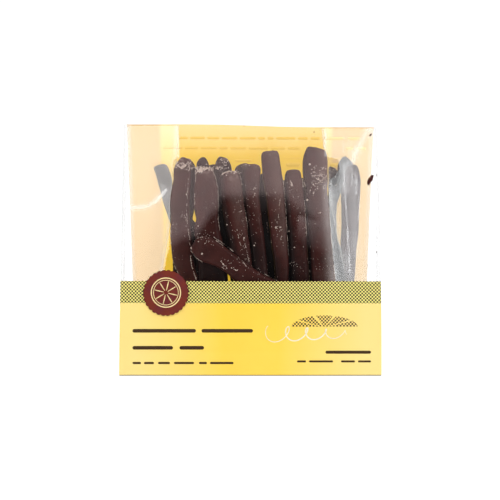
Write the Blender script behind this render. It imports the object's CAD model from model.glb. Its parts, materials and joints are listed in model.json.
import json
import math
import random

import bmesh
import bpy
import numpy as np
from mathutils import Matrix, Vector, noise
from mathutils.bvhtree import BVHTree

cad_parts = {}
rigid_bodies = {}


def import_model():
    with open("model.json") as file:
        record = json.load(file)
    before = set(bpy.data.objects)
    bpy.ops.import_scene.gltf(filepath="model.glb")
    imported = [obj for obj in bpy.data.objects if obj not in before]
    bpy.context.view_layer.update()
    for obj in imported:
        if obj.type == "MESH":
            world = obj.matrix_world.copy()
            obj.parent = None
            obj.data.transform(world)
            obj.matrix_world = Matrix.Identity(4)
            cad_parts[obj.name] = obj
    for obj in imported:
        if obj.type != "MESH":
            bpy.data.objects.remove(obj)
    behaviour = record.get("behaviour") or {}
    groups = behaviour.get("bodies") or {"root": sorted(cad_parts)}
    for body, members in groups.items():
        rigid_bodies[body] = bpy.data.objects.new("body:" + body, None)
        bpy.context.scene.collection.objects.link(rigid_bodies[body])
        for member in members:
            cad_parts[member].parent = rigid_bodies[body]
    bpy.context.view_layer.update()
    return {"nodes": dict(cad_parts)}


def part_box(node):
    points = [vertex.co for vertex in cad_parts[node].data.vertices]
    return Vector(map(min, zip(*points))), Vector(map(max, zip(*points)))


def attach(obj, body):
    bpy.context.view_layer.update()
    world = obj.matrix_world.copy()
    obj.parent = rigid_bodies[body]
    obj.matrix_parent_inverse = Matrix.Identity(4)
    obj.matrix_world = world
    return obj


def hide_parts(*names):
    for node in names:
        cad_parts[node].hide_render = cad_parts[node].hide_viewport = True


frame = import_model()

bl_info = {
    "name": "Chocolate covered lemon peel pack",
    "version": (1, 0, 0),
    "blender": (4, 5, 0),
    "location": "View3D > Sidebar > Lemon peel",
    "description": "Dresses the solids of a clear pack of chocolate covered lemon peel",
    "category": "Object",
}

MM = 0.001

# The pack's form, as the solids have it
PACK_WIDTH = 115 * MM
PACK_HEIGHT = 112.3 * MM
BASE_DEPTH = 50 * MM
TOP_DEPTH = 8 * MM
LEFT_TAPER = 1.3
RIGHT_TAPER = 1.75
PANEL_BULGE = 1.5 * MM
TOP_PINCH = 1.6 * MM
PINCH_POWER = 6
TOP_FALL = 1.3 * MM
FILM_INSET = 0.6 * MM
FILM_TOP_MARGIN = 0.9 * MM
FOLD_RADIUS = 0.8 * MM
BAND_HEIGHT = 41.4 * MM
SEAL_RADIUS = 10.2 * MM

# The film's mesh: its steps, and how far below the top it starts to follow the top edge's fall
FILM_ROWS = 200
FRONT_COLUMNS = 210
BACK_COLUMNS = 60
FOLD_STEPS = 4
GUSSET_STEPS = 10
BASE_STEPS = 3
FALL_REACH = 9 * MM

# The film's marks: how milky each kind of place is, and how far the gussets lie close to what is behind them
HAZE_SHARES = {"fold": 2.4, "gusset": 0.3, "panel": 0.02}
GUSSET_PRESS = 0.65

# The label: rows of checks, and where its card pales, gets dark or lets light through
CHECK_ROWS = 13
CARD_ENDS = (12 * MM, 50 * MM)
CONTACT_SHADE = (0.3 * MM, 0.9 * MM)
LIT_SHIFT = 2 * MM
LIT_ENDS = (39 * MM, 41 * MM)
LIT_TOP = (98 * MM, 112 * MM)
SHOW_THROUGH = 0.86
SLICE_PLACE = (32.4 * MM, 21.4 * MM)
SLICE_REACH = (14.6 * MM, 5.2 * MM)
WEDGE_ANGLE = math.pi / 5

# The coat: how far it lies inside the strip's own surface, and how fine its lumps, pits and patches are
COAT_INSET = 0.1 * MM
BROAD_LUMPS = 85.0
SMALL_LUMPS = 190.0
PITS = 520.0
PATCHES = 170.0
SOFTENING = 5
RIDGE = (0.07, 0.2)

# Tone of the strips at the back, and how far a strip's tone may be off by chance
BACK_SHADE = 0.35
TONE_RANGE = (0.93, 1.07)

# Nodes of the solids
FRONT_PEELS = [f"peel_front_{number}" for number in range(1, 9)]
BACK_PEELS = [f"peel_back_{number}" for number in range(1, 13)]
PEELS = FRONT_PEELS + BACK_PEELS + ["peel_slanting"]

# Cards beside and above the camera: how far they are from the pack, and their edges as x and z
CARD_DISTANCE = -0.9
CARD_REACH = 0.56
LEFT_CARD_EDGE = ((-0.36, 0.02), (-0.33, 0.3), (-0.33, 0.48), (-0.22, 0.72), (-0.18, 1.0), (-0.18, 1.6))
RIGHT_CARD_EDGE = ((0.25, 0.02), (0.24, 0.5), (0.19, 0.78), (0.15, 0.92), (0.15, 1.6))
LOW_CARD_EDGES = (((0.1, 0.38), (0.13, 0.34), (0.2, 0.3)), ((0.1, 0.5), (0.13, 0.47), (0.2, 0.42)))

# The sky card's lower edge, how far its faint tail reaches below it, and half the height of its fade
SKY_EDGE = (
    (-0.233, 0.375), (-0.214, 0.407), (-0.187, 0.424), (-0.177, 0.447), (-0.165, 0.477), (-0.146, 0.515),
    (-0.131, 0.535), (-0.117, 0.595), (-0.079, 0.607), (0.002, 0.62), (0.058, 0.61), (0.08, 0.575),
    (0.105, 0.535), (0.124, 0.505), (0.135, 0.48), (0.146, 0.445), (0.159, 0.41),
)
SKY_TAIL = (0.01,) * 8 + (0.04, 0.09, 0.09, 0.05) + (0.02,) * 5
SKY_FADE = 0.017

# Brightness at the tail's top, at the fade's top and at the right card's upper end, as shares
TAIL_GLOW = 0.2
EDGE_GLOW = 0.82
TOP_GLOW = 0.9

# Floor and backdrop: half their width, and the curve between them; and the light from all around
FLOOR_HALF = 3.0
CURVE_START = 1.2
CURVE_RADIUS = 0.6
CURVE_STEPS = 12
BACKDROP_TOP = 2.4
FLOOR_DROP = 0.0002
WORLD_GLOW = 0.025

# Camera
VIEW_TARGET = Vector((0.0, 0.0, 0.05415))
VIEW_DISTANCE = 0.386
VIEW_ELEVATION = math.radians(3)
SENSOR_WIDTH = 36.0
FOCAL_PIXELS = 831.8
PHOTO_SIZE = 500
SHIFT_PIXELS = (-0.3, -0.2)

# Materials
BLACK = (0.0, 0.0, 0.0, 1.0)
WHITE = (1.0, 1.0, 1.0)
NOISE_RANGE = (0.3, 0.7)
NOISE_ROUGHNESS = 0.55


# Settings

class PeelSettings(bpy.types.PropertyGroup):
    """Sizes and colours of the coated strips."""
    coat: bpy.props.FloatVectorProperty(
        name="Coat", description="Colour of the dark chocolate", subtype="COLOR",
        default=(0.038, 0.0075, 0.0058))
    bloom: bpy.props.FloatVectorProperty(
        name="Bloom", description="Colour of scuffed and dusty chocolate", subtype="COLOR",
        default=(0.33, 0.24, 0.21))
    cell: bpy.props.FloatProperty(
        name="Cell", description="Edge length of the strips' mesh", subtype="DISTANCE", default=0.45 * MM)
    lump: bpy.props.FloatProperty(
        name="Lumps", description="Height of the broad lumps of the coat", subtype="DISTANCE",
        default=0.32 * MM)
    pit: bpy.props.FloatProperty(
        name="Pits", description="Height of the small bumps of the coat", subtype="DISTANCE",
        default=0.09 * MM)
    rim: bpy.props.FloatProperty(
        name="Rim", description="Height of the lip along a strip's edges", subtype="DISTANCE",
        default=0.13 * MM)


class SugarSettings(bpy.types.PropertyGroup):
    """Number, sizes and colour of the sugar grains."""
    grain: bpy.props.FloatVectorProperty(
        name="Grain", description="Colour of the sugar grains", subtype="COLOR", default=(0.72, 0.59, 0.51))
    count: bpy.props.IntProperty(
        name="Grains", description="Number of fine grains on the strips", default=460)
    smallest: bpy.props.FloatProperty(
        name="Smallest", description="Smallest grain", subtype="DISTANCE", default=0.16 * MM)
    largest: bpy.props.FloatProperty(
        name="Largest", description="Largest grain", subtype="DISTANCE", default=0.34 * MM)


class FilmSettings(bpy.types.PropertyGroup):
    """Look of the clear film."""
    tint: bpy.props.FloatVectorProperty(
        name="Tint", description="Colour of milky film", subtype="COLOR", default=(0.84, 0.86, 0.87))
    mirror: bpy.props.FloatProperty(
        name="Mirror", description="Share of light that the film reflects face on", default=0.098)
    haze: bpy.props.FloatProperty(
        name="Haze", description="Share of the film that is milky where it is creased", default=0.05)
    roughness: bpy.props.FloatProperty(
        name="Roughness", description="Roughness of the film", default=0.04)
    ripple: bpy.props.FloatProperty(
        name="Ripple", description="Height of the film's ripples", subtype="DISTANCE",
        default=0.02 * MM)


class LabelSettings(bpy.types.PropertyGroup):
    """Colours of the card label and its print."""
    card: bpy.props.FloatVectorProperty(
        name="Card", description="Colour of the yellow card", subtype="COLOR", default=(0.92, 0.63, 0.062))
    ground: bpy.props.FloatVectorProperty(
        name="Ground", description="Colour between the checks", subtype="COLOR", default=(0.87, 0.8, 0.22))
    ink: bpy.props.FloatVectorProperty(
        name="Check ink", description="Colour of the small checks", subtype="COLOR",
        default=(0.016, 0.009, 0.002))
    bars: bpy.props.FloatVectorProperty(
        name="Bars", description="Colour of the bars", subtype="COLOR", default=(0.05, 0.024, 0.006))
    ends: bpy.props.FloatVectorProperty(
        name="Ends", description="Colour of the card towards its ends", subtype="COLOR",
        default=(0.93, 0.745, 0.29))
    inside: bpy.props.FloatVectorProperty(
        name="Inside", description="Colour of the card's inner side", subtype="COLOR",
        default=(0.44, 0.27, 0.03))
    inside_ends: bpy.props.FloatVectorProperty(
        name="Inside ends", description="Colour of the card's inner side near its ends", subtype="COLOR",
        default=(0.34, 0.21, 0.08))
    backlit: bpy.props.FloatVectorProperty(
        name="Backlit", description="Light that comes through the card to its inner side", subtype="COLOR",
        default=(0.67, 0.435, 0.035))
    backlit_top: bpy.props.FloatVectorProperty(
        name="Backlit top", description="Light that comes through the card near its top", subtype="COLOR",
        default=(0.67, 0.545, 0.27))
    backlit_ends: bpy.props.FloatVectorProperty(
        name="Backlit ends", description="Light that comes through the card near its ends", subtype="COLOR",
        default=(0.53, 0.335, 0.09))
    pale: bpy.props.FloatVectorProperty(
        name="Pale ink", description="Colour of the pale wave", subtype="COLOR", default=(0.95, 0.88, 0.66))
    showing: bpy.props.FloatVectorProperty(
        name="Show-through", description="Colour of print that shows through the card", subtype="COLOR",
        default=(0.45, 0.29, 0.06))
    check: bpy.props.FloatProperty(
        name="Check", description="Side of one square of the checked strip", subtype="DISTANCE",
        default=0.738 * MM)


class SealSettings(bpy.types.PropertyGroup):
    """Colours of the scalloped seal."""
    paper: bpy.props.FloatVectorProperty(
        name="Paper", description="Colour of the maroon paper", subtype="COLOR",
        default=(0.16, 0.024, 0.014))
    shade: bpy.props.FloatVectorProperty(
        name="Shade", description="Colour of the darker patches", subtype="COLOR",
        default=(0.125, 0.02, 0.024))
    motif: bpy.props.FloatVectorProperty(
        name="Motif", description="Colour of the lemon slice", subtype="COLOR", default=(0.93, 0.76, 0.38))


class StageSettings(bpy.types.PropertyGroup):
    """Brightness and colours of the studio."""
    side: bpy.props.FloatProperty(
        name="Side cards", description="Brightness of the two side cards", default=3.5)
    flank: bpy.props.FloatProperty(
        name="Flank cards", description="Brightness of the cards at both sides", default=1.8)
    sky: bpy.props.FloatProperty(
        name="Sky card", description="Brightness of the card above the camera", default=1.34)
    low: bpy.props.FloatProperty(
        name="Low card", description="Brightness of the small low card", default=1.15)
    rose: bpy.props.FloatVectorProperty(
        name="Rose", description="Colour of the sky card and the low card", subtype="COLOR",
        default=(1.0, 0.79, 0.77))
    cream: bpy.props.FloatVectorProperty(
        name="Cream", description="Colour of the left card", subtype="COLOR", default=(1.0, 0.93, 0.89))
    top: bpy.props.FloatProperty(
        name="Top light", description="Brightness of the light overhead", default=1.15)
    back: bpy.props.FloatProperty(name="Back card", description="Brightness of the card behind", default=0.75)
    floor: bpy.props.FloatVectorProperty(
        name="Floor", description="Colour of the floor", subtype="COLOR", default=(0.3, 0.3, 0.3))
    glow: bpy.props.FloatProperty(
        name="Floor glow", description="Light that the floor gives off", default=0.9)


# Meshes

def add_object(name, data):
    """Put a new object into the scene."""
    thing = bpy.data.objects.new(name, data)
    bpy.context.scene.collection.objects.link(thing)
    return thing


def new_piece(name, mesh, slot, material, *nodes):
    """Add a piece of the pack: it rides on the pack's one body and stands for the given solids."""
    mesh.materials.clear()
    mesh.materials.append(material)
    piece = add_object(name, mesh)
    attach(piece, "root")
    if nodes:
        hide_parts(*nodes)
    return piece


def repaint(name, material):
    """Give a solid that stays its finish, and return its surface, to print on."""
    solid = frame["nodes"][name]
    for slot in solid.material_slots:
        slot.material = material
    return surface_tree([solid])


def mesh_of(bm, name):
    """Turn a bmesh into a smooth-shaded mesh."""
    mesh = bpy.data.meshes.new(name)
    bm.to_mesh(mesh)
    bm.free()
    mesh.shade_smooth()
    return mesh


def read_points(mesh):
    """A mesh's points and normals as arrays."""
    count = len(mesh.vertices)
    points = np.empty(count * 3)
    normals = np.empty(count * 3)
    mesh.vertices.foreach_get("co", points)
    mesh.vertex_normals.foreach_get("vector", normals)
    return points.reshape(-1, 3), normals.reshape(-1, 3)


def write_points(mesh, points):
    """Move a mesh's points."""
    mesh.vertices.foreach_set("co", points.ravel())
    mesh.update()


def read_edges(mesh):
    """A mesh's edges as an array of index pairs."""
    pairs = np.empty(len(mesh.edges) * 2, dtype=np.int64)
    mesh.edges.foreach_get("vertices", pairs)
    return pairs.reshape(-1, 2)


def average(values, edges, rounds):
    """Blur a value over the mesh."""
    count = np.bincount(edges.ravel(), minlength=len(values)).astype(float)
    count[count == 0] = 1.0
    for _ in range(rounds):
        total = np.bincount(edges[:, 0], weights=values[edges[:, 1]], minlength=len(values))
        total += np.bincount(edges[:, 1], weights=values[edges[:, 0]], minlength=len(values))
        values = 0.5 * values + 0.5 * total / count
    return values


def crest_of(points, normals, edges):
    """How convex the surface is at each point, in turns of the normal for one edge."""
    step = points[edges[:, 1]] - points[edges[:, 0]]
    length = np.linalg.norm(step, axis=1) + 1e-12
    first = -(normals[edges[:, 0]] * step).sum(axis=1) / length
    second = (normals[edges[:, 1]] * step).sum(axis=1) / length
    count = np.bincount(edges.ravel(), minlength=len(points)).astype(float)
    total = np.bincount(edges[:, 0], weights=first, minlength=len(points))
    total += np.bincount(edges[:, 1], weights=second, minlength=len(points))
    return total / np.maximum(count, 1.0)


def read_values(mesh, name):
    """A value that is kept for each point, as an array."""
    values = np.empty(len(mesh.vertices))
    mesh.attributes[name].data.foreach_get("value", values)
    return values


def store(mesh, name, values):
    """Keep a value for each point, for the material."""
    layer = mesh.attributes.get(name) or mesh.attributes.new(name, "FLOAT", "POINT")
    layer.data.foreach_set("value", values.astype(np.float32))


def fade(values, low, high):
    """A soft step from 0 at low to 1 at high."""
    share = np.clip((values - low) / (high - low), 0.0, 1.0)
    return share * share * (3.0 - 2.0 * share)


def remeshed(source, name, cell):
    """A copy of a solid's mesh with even, fine cells."""
    copy = add_object(name, source.data.copy())
    even = copy.modifiers.new("Even cells", "REMESH")
    even.mode = "VOXEL"
    even.voxel_size = cell
    graph = bpy.context.evaluated_depsgraph_get()
    mesh = bpy.data.meshes.new_from_object(copy.evaluated_get(graph))
    bpy.data.objects.remove(copy, do_unlink=True)
    mesh.name = name
    return mesh


# Materials

class Nodes:
    """A new material's nodes, with short ways to add and join them."""

    def __init__(self, name):
        self.material = bpy.data.materials.new(name)
        self.material.use_nodes = True
        self.tree = self.material.node_tree
        self.shader = self.tree.nodes["Principled BSDF"]

    def add(self, kind, **values):
        node = self.tree.nodes.new(kind)
        for key, value in values.items():
            setattr(node, key, value)
        return node

    def join(self, source, target):
        self.tree.links.new(source, target)

    def put(self, socket, value):
        """Join a socket to another, or set its plain value."""
        if isinstance(value, bpy.types.NodeSocket):
            self.join(value, socket)
        else:
            socket.default_value = value

    def math(self, operation, first, second=0.0, clamp=False):
        node = self.add("ShaderNodeMath", operation=operation, use_clamp=clamp)
        self.put(node.inputs[0], first)
        self.put(node.inputs[1], second)
        return node.outputs[0]

    def times(self, first, second):
        return self.math("MULTIPLY", first, second)

    def squares_sum(self, first, second):
        return self.math("ADD", self.math("POWER", first, 2.0), self.math("POWER", second, 2.0))

    def place(self):
        return self.add("ShaderNodeTexCoord").outputs["Object"]

    def axes(self, vector):
        """A vector's shares along x, y and z."""
        node = self.add("ShaderNodeSeparateXYZ")
        self.join(vector, node.inputs[0])
        return node.outputs

    def noise(self, scale, detail=4.0, stretch=None):
        node = self.add("ShaderNodeTexNoise")
        node.inputs["Scale"].default_value = scale
        node.inputs["Detail"].default_value = detail
        node.inputs["Roughness"].default_value = NOISE_ROUGHNESS
        spot = self.place()
        if stretch:
            mapping = self.add("ShaderNodeMapping")
            mapping.inputs["Scale"].default_value = stretch
            self.join(spot, mapping.inputs["Vector"])
            spot = mapping.outputs["Vector"]
        self.join(spot, node.inputs["Vector"])
        return node.outputs["Fac"]

    def spread(self, value, low, high, to_low=0.0, to_high=1.0):
        node = self.add("ShaderNodeMapRange")
        for name, level in (("Value", value), ("From Min", low), ("From Max", high),
                            ("To Min", to_low), ("To Max", to_high)):
            self.put(node.inputs[name], level)
        return node.outputs["Result"]

    def follow(self, tone, low=0.0, high=1.0):
        """A value that goes from low to high with a noise."""
        return self.spread(tone, *NOISE_RANGE, low, high)

    def mix(self, share, first, second):
        node = self.add("ShaderNodeMix", data_type="RGBA")
        for index, value in ((0, share), (6, first), (7, second)):
            self.put(node.inputs[index], value)
        return node.outputs[2]

    def bump(self, height, distance, strength):
        node = self.add("ShaderNodeBump")
        node.inputs["Strength"].default_value = strength
        node.inputs["Distance"].default_value = distance
        self.join(height, node.inputs["Height"])
        self.join(node.outputs["Normal"], self.shader.inputs["Normal"])

    def attribute(self, name):
        return self.add("ShaderNodeAttribute", attribute_name=name).outputs["Fac"]

    def set(self, **values):
        for key, value in values.items():
            self.put(self.shader.inputs[key.replace("_", " ")], value)


def opaque(colour, share=1.0):
    """A colour with full opacity, made lighter or darker by a share."""
    return (*(share * part for part in colour), 1.0)


def coat_material(settings):
    """Dark chocolate: satin, blotchy, with paler rubbed edges and dusty patches."""
    nodes = Nodes("dark_chocolate_coat")
    blotch = nodes.noise(160.0, 3.0)
    grain = nodes.noise(1500.0, 3.0)
    blotches = nodes.spread(blotch, 0.35, 0.65)
    base = nodes.mix(blotches, opaque(settings.coat, 0.8), opaque(settings.coat, 1.25))
    base = nodes.mix(nodes.attribute("tone"), BLACK, base)
    dust = nodes.math("MULTIPLY", nodes.attribute("rubbed"), nodes.follow(grain, 0.4, 1.0), clamp=True)
    colour = nodes.mix(dust, base, opaque(settings.bloom))
    nodes.set(Base_Color=colour, Roughness=nodes.follow(blotch, 0.26, 0.38), Specular_IOR_Level=0.1)
    nodes.bump(grain, 0.02 * MM, 0.5)
    return nodes.material


def grain_material(settings):
    """Pale sugar, with darker and lighter grains."""
    nodes = Nodes("sugar_grain")
    tone = nodes.noise(900.0, 2.0)
    colour = nodes.mix(tone, opaque(settings.grain, 0.7), opaque(settings.grain))
    nodes.set(Base_Color=colour, Roughness=nodes.follow(tone, 0.25, 0.45))
    return nodes.material


def film_material(settings):
    """Clear film: see-through, with a mirror reflection that grows towards grazing views."""
    nodes = Nodes("clear_packing_film")
    facing = nodes.add("ShaderNodeLayerWeight")
    facing.inputs["Blend"].default_value = 0.5
    grazing = nodes.math("POWER", facing.outputs["Facing"], 4.0)
    pressed = nodes.attribute("pressed")
    share = nodes.spread(grazing, 0.0, 1.0, settings.mirror, 0.9)
    share = nodes.times(share, nodes.spread(pressed, 0.0, 1.0, 1.0, 0.12))
    milky = nodes.times(nodes.attribute("creased"), nodes.follow(nodes.noise(90.0), 0.6, 1.4))
    alpha = nodes.math("ADD", share, milky, clamp=True)
    clear = nodes.math("DIVIDE", share, alpha, clamp=True)
    rough = nodes.follow(nodes.noise(70.0), 0.6 * settings.roughness, 1.4 * settings.roughness)
    rough = nodes.math("ADD", rough, nodes.times(nodes.attribute("crumpled"), 0.4), clamp=True)
    edge = nodes.spread(pressed, GUSSET_PRESS, 1.0)
    tint = nodes.mix(edge, opaque(settings.tint), opaque(settings.tint, 0.55))
    nodes.set(Base_Color=tint, Metallic=clear, Roughness=rough, Alpha=alpha)
    return nodes.material


def card_material(settings):
    """Yellow card, paler towards its ends, with checks along the front band's top and in a half slice."""
    nodes = Nodes("yellow_card_stock")
    along, depth, up = nodes.axes(nodes.place())
    facing = nodes.axes(nodes.add("ShaderNodeNewGeometry").outputs["True Normal"])[1]
    fibre = nodes.noise(700.0, 4.0, stretch=(1.0, 1.0, 0.4))
    light = opaque([min(1.0, 1.04 * part + 0.006) for part in settings.card])
    card = nodes.mix(nodes.follow(nodes.noise(45.0, 3.0)), opaque(settings.card), light)
    ends = nodes.spread(nodes.math("ABSOLUTE", along), *CARD_ENDS, 0.0, 0.8)
    card = nodes.mix(ends, card, opaque(settings.ends))
    front = nodes.math("LESS_THAN", depth, 0.0)
    inside = nodes.times(nodes.math("SUBTRACT", 1.0, front), nodes.math("LESS_THAN", facing, -0.3))
    duller = nodes.spread(nodes.math("ABSOLUTE", nodes.math("ADD", along, LIT_SHIFT)), *LIT_ENDS)
    inner = nodes.mix(duller, opaque(settings.inside), opaque(settings.inside_ends))
    card = nodes.mix(inside, card, inner)
    outward = nodes.times(front, nodes.math("LESS_THAN", facing, 0.0))
    strip = nodes.times(nodes.math("GREATER_THAN", up, BAND_HEIGHT - CHECK_ROWS * settings.check), outward)
    wedges = nodes.times(half_slice(nodes, along, up), outward)
    colour = nodes.mix(strip, card, opaque(settings.ground))
    dots = nodes.times(nodes.math("MAXIMUM", strip, wedges), checks(nodes, along, up, settings.check))
    colour = nodes.mix(dots, colour, opaque(settings.ink))
    colour = nodes.mix(nodes.spread(up, *CONTACT_SHADE, 0.85, 0.0), colour, opaque(settings.ink))
    backlit = nodes.mix(nodes.spread(up, *LIT_TOP), opaque(settings.backlit), opaque(settings.backlit_top))
    backlit = nodes.mix(duller, backlit, opaque(settings.backlit_ends))
    nodes.set(Base_Color=colour, Roughness=nodes.follow(fibre, 0.42, 0.55), Coat_Weight=0.5,
              Coat_Roughness=0.25, Specular_IOR_Level=0.2, Emission_Color=nodes.mix(inside, BLACK, backlit),
              Emission_Strength=1.0)
    nodes.bump(fibre, 0.01 * MM, 0.3)
    return nodes.material


def checks(nodes, along, up, side):
    """1 on every other square of a pattern of small checks, 0 on the squares between."""
    pattern = nodes.add("ShaderNodeTexChecker")
    pattern.inputs["Scale"].default_value = 1.0 / side
    flat = nodes.add("ShaderNodeCombineXYZ")
    for socket, value in zip(flat.inputs, (along, 0.5 * side, nodes.math("ADD", up, 0.5 * side))):
        nodes.put(socket, value)
    nodes.join(flat.outputs[0], pattern.inputs["Vector"])
    return pattern.outputs["Fac"]


def half_slice(nodes, along, up):
    """1 inside a low half slice of lemon with narrow gaps between its wedges, 0 outside it."""
    across, rise = [nodes.math("DIVIDE", nodes.math("SUBTRACT", place, centre), reach)
                    for place, centre, reach in zip((along, up), SLICE_PLACE, SLICE_REACH)]
    inside = nodes.math("LESS_THAN", nodes.squares_sum(across, rise), 1.0)
    inside = nodes.times(inside, nodes.math("GREATER_THAN", rise, 0.06))
    angle = nodes.math("DIVIDE", nodes.math("ARCTAN2", rise, across), WEDGE_ANGLE)
    share = nodes.math("ABSOLUTE", nodes.math("SUBTRACT", nodes.math("FRACT", angle), 0.5))
    return nodes.times(inside, nodes.math("LESS_THAN", share, 0.42))


def seal_material(settings):
    """Maroon paper, darker along its scalloped rim."""
    nodes = Nodes("maroon_seal_paper")
    places = nodes.axes(nodes.place())
    low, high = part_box("round_seal")
    across, up = [nodes.math("SUBTRACT", places[axis], 0.5 * (low[axis] + high[axis])) for axis in (0, 2)]
    reach = nodes.math("SQRT", nodes.squares_sum(across, up))
    tone = nodes.noise(300.0, 3.0)
    body = nodes.mix(nodes.follow(tone), opaque(settings.paper, 0.9), opaque(settings.paper, 1.08))
    body = nodes.mix(nodes.spread(nodes.noise(140.0, 2.0), 0.4, 0.65), body, opaque(settings.shade))
    rim = nodes.spread(reach, 0.95 * SEAL_RADIUS, 0.99 * SEAL_RADIUS)
    colour = nodes.mix(rim, body, opaque(settings.paper, 0.3))
    nodes.set(Base_Color=colour, Roughness=nodes.follow(tone, 0.5, 0.6), Specular_IOR_Level=0.12)
    nodes.bump(tone, 0.02 * MM, 0.4)
    return nodes.material


def plain_material(name, colour, roughness, glow=None):
    """A printed or matt finish with a faint grain; the glow is light that comes through from behind."""
    nodes = Nodes(name)
    tone = nodes.noise(400.0, 3.0)
    shade = nodes.mix(nodes.follow(tone), opaque(colour, 0.88), opaque(colour))
    nodes.set(Base_Color=shade, Roughness=nodes.follow(tone, roughness - 0.06, roughness + 0.06),
              Specular_IOR_Level=0.2)
    if glow:
        nodes.set(Emission_Color=opaque(glow), Emission_Strength=1.0)
    nodes.bump(tone, 0.02 * MM, 0.4)
    return nodes.material


# Places in the picture

def camera_axes():
    """Where the camera stands, and its directions forward, right and up."""
    away = Vector((0.0, -math.cos(VIEW_ELEVATION), math.sin(VIEW_ELEVATION)))
    start = VIEW_TARGET + VIEW_DISTANCE * away
    forward = (VIEW_TARGET - start).normalized()
    right = forward.cross(Vector((0.0, 0.0, 1.0))).normalized()
    return start, forward, right, right.cross(forward)


def photo_ray(u, v):
    """Start and direction of the sight line through a place in the picture, given in its pixels."""
    start, forward, right, up = camera_axes()
    middle = 0.5 * PHOTO_SIZE
    across = (u - middle + SHIFT_PIXELS[0]) / FOCAL_PIXELS
    rise = (middle - v + SHIFT_PIXELS[1]) / FOCAL_PIXELS
    return start, (forward + right * across + up * rise).normalized()


def picture_places(points):
    """Where points show in the picture, in its pixels, and how far they are in front of the camera."""
    start, forward, right, up = [np.array(vector) for vector in camera_axes()]
    away = points - start
    depth = away @ forward
    middle = 0.5 * PHOTO_SIZE
    u = middle - SHIFT_PIXELS[0] + FOCAL_PIXELS * (away @ right) / depth
    v = middle + SHIFT_PIXELS[1] - FOCAL_PIXELS * (away @ up) / depth
    return u, v, depth


# The film's form

def side_depth(height, taper):
    """Front-to-back depth of the pack at one side edge."""
    rise = min(max(height / PACK_HEIGHT, 0.0), 1.0)
    return TOP_DEPTH + (BASE_DEPTH - TOP_DEPTH) * (1.0 - rise ** taper)


def panel_swell(x, height):
    """How far a panel stands out from the plane between its two side edges."""
    rise = min(max(height / PACK_HEIGHT, 0.0), 1.0)
    across = math.cos(math.pi * x / PACK_WIDTH) ** 2
    return across * (PANEL_BULGE * math.sin(math.pi * rise) - TOP_PINCH * rise ** PINCH_POWER)


def half_depth(x, height):
    """Distance of the pack's outer surface from its middle plane."""
    share = x / PACK_WIDTH + 0.5
    left = side_depth(height, LEFT_TAPER)
    right = side_depth(height, RIGHT_TAPER)
    return 0.5 * (left + (right - left) * share) + panel_swell(x, height)


def top_fall(x):
    """How far the upper edge has dropped at this place."""
    share = min(max(2.0 * x / PACK_WIDTH + 0.5, 0.0), 1.0)
    return TOP_FALL * 0.5 * (1.0 - math.cos(math.pi * share))


def film_folds(height, shrink):
    """The round folds of one level: centre, and +1 for an outer or -1 for an inner fold."""
    edge = 0.5 * PACK_WIDTH - shrink
    folds = []
    for side, taper in ((1, RIGHT_TAPER), (-1, LEFT_TAPER)):
        depth = side_depth(height, taper)
        half = 0.5 * depth - FILM_INSET - shrink - FOLD_RADIUS
        reach = math.sqrt(max((0.5 * BASE_DEPTH) ** 2 - (0.5 * depth) ** 2, 0.0))
        outer = edge - FOLD_RADIUS
        folds.append((Vector((side * outer, -side * half)), 1))
        folds.append((Vector((side * (edge - reach + FOLD_RADIUS), 0.0)), -1))
        folds.append((Vector((side * outer, side * half)), 1))
    return folds


def fold_heading(fold, following):
    """Heading of the straight run from one fold to the next."""
    step = following[0] - fold[0]
    turn = FOLD_RADIUS * (fold[1] - following[1]) / step.length
    return math.atan2(step.y, step.x) + math.asin(max(-1.0, min(1.0, turn)))


def film_ring(height, shrink):
    """The film's outline at one level, anticlockwise from above, with a kind for each point."""
    folds = film_folds(height, shrink)
    count = len(folds)
    headings = [fold_heading(folds[i], folds[(i + 1) % count]) for i in range(count)]
    arcs = []
    for index, (centre, sense) in enumerate(folds):
        start = headings[index - 1]
        turn = (headings[index] - start + math.pi) % math.tau - math.pi
        angles = [start + turn * step / FOLD_STEPS for step in range(FOLD_STEPS + 1)]
        arcs.append([centre + sense * FOLD_RADIUS * Vector((math.sin(a), -math.cos(a))) for a in angles])
    ring = []
    for index, arc in enumerate(arcs):
        ring.extend((point, "fold") for point in arc)
        end = arcs[(index + 1) % count][0]
        panel = index % 3 == 2
        steps = GUSSET_STEPS
        if panel:
            steps = BACK_COLUMNS if arc[-1].y > 0.0 else FRONT_COLUMNS
        for step in range(1, steps):
            point = arc[-1].lerp(end, step / steps)
            if panel:
                point.y += math.copysign(1.0, point.y) * panel_swell(point.x, height)
            ring.append((point, "panel" if panel else "gusset"))
    return [(Vector((point.x, point.y, height)), kind) for point, kind in ring]


def film_levels():
    """Heights and insets of the rings, from the base's rounded edge to the top."""
    levels = []
    for step in range(BASE_STEPS + 1):
        angle = 0.5 * math.pi * step / BASE_STEPS
        height = FILM_INSET + FOLD_RADIUS * (1.0 - math.cos(angle))
        levels.append((height, FOLD_RADIUS * (1.0 - math.sin(angle))))
    low = FILM_INSET + FOLD_RADIUS
    high = PACK_HEIGHT - FILM_TOP_MARGIN
    levels.extend((low + (high - low) * row / FILM_ROWS, 0.0) for row in range(1, FILM_ROWS + 1))
    return levels


def ripple(point, kind):
    """Height of the film's ripples: faint in the taut panels, more in the gussets, none on the folds."""
    if kind == "fold":
        return 0.0
    if kind == "gusset":
        return 1.6 * noise.noise(Vector((point.x * 60.0, point.y * 60.0, point.z * 30.0)))
    return 0.5 * noise.noise(Vector((point.x * 30.0, 3.1, point.z * 24.0)))


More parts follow.
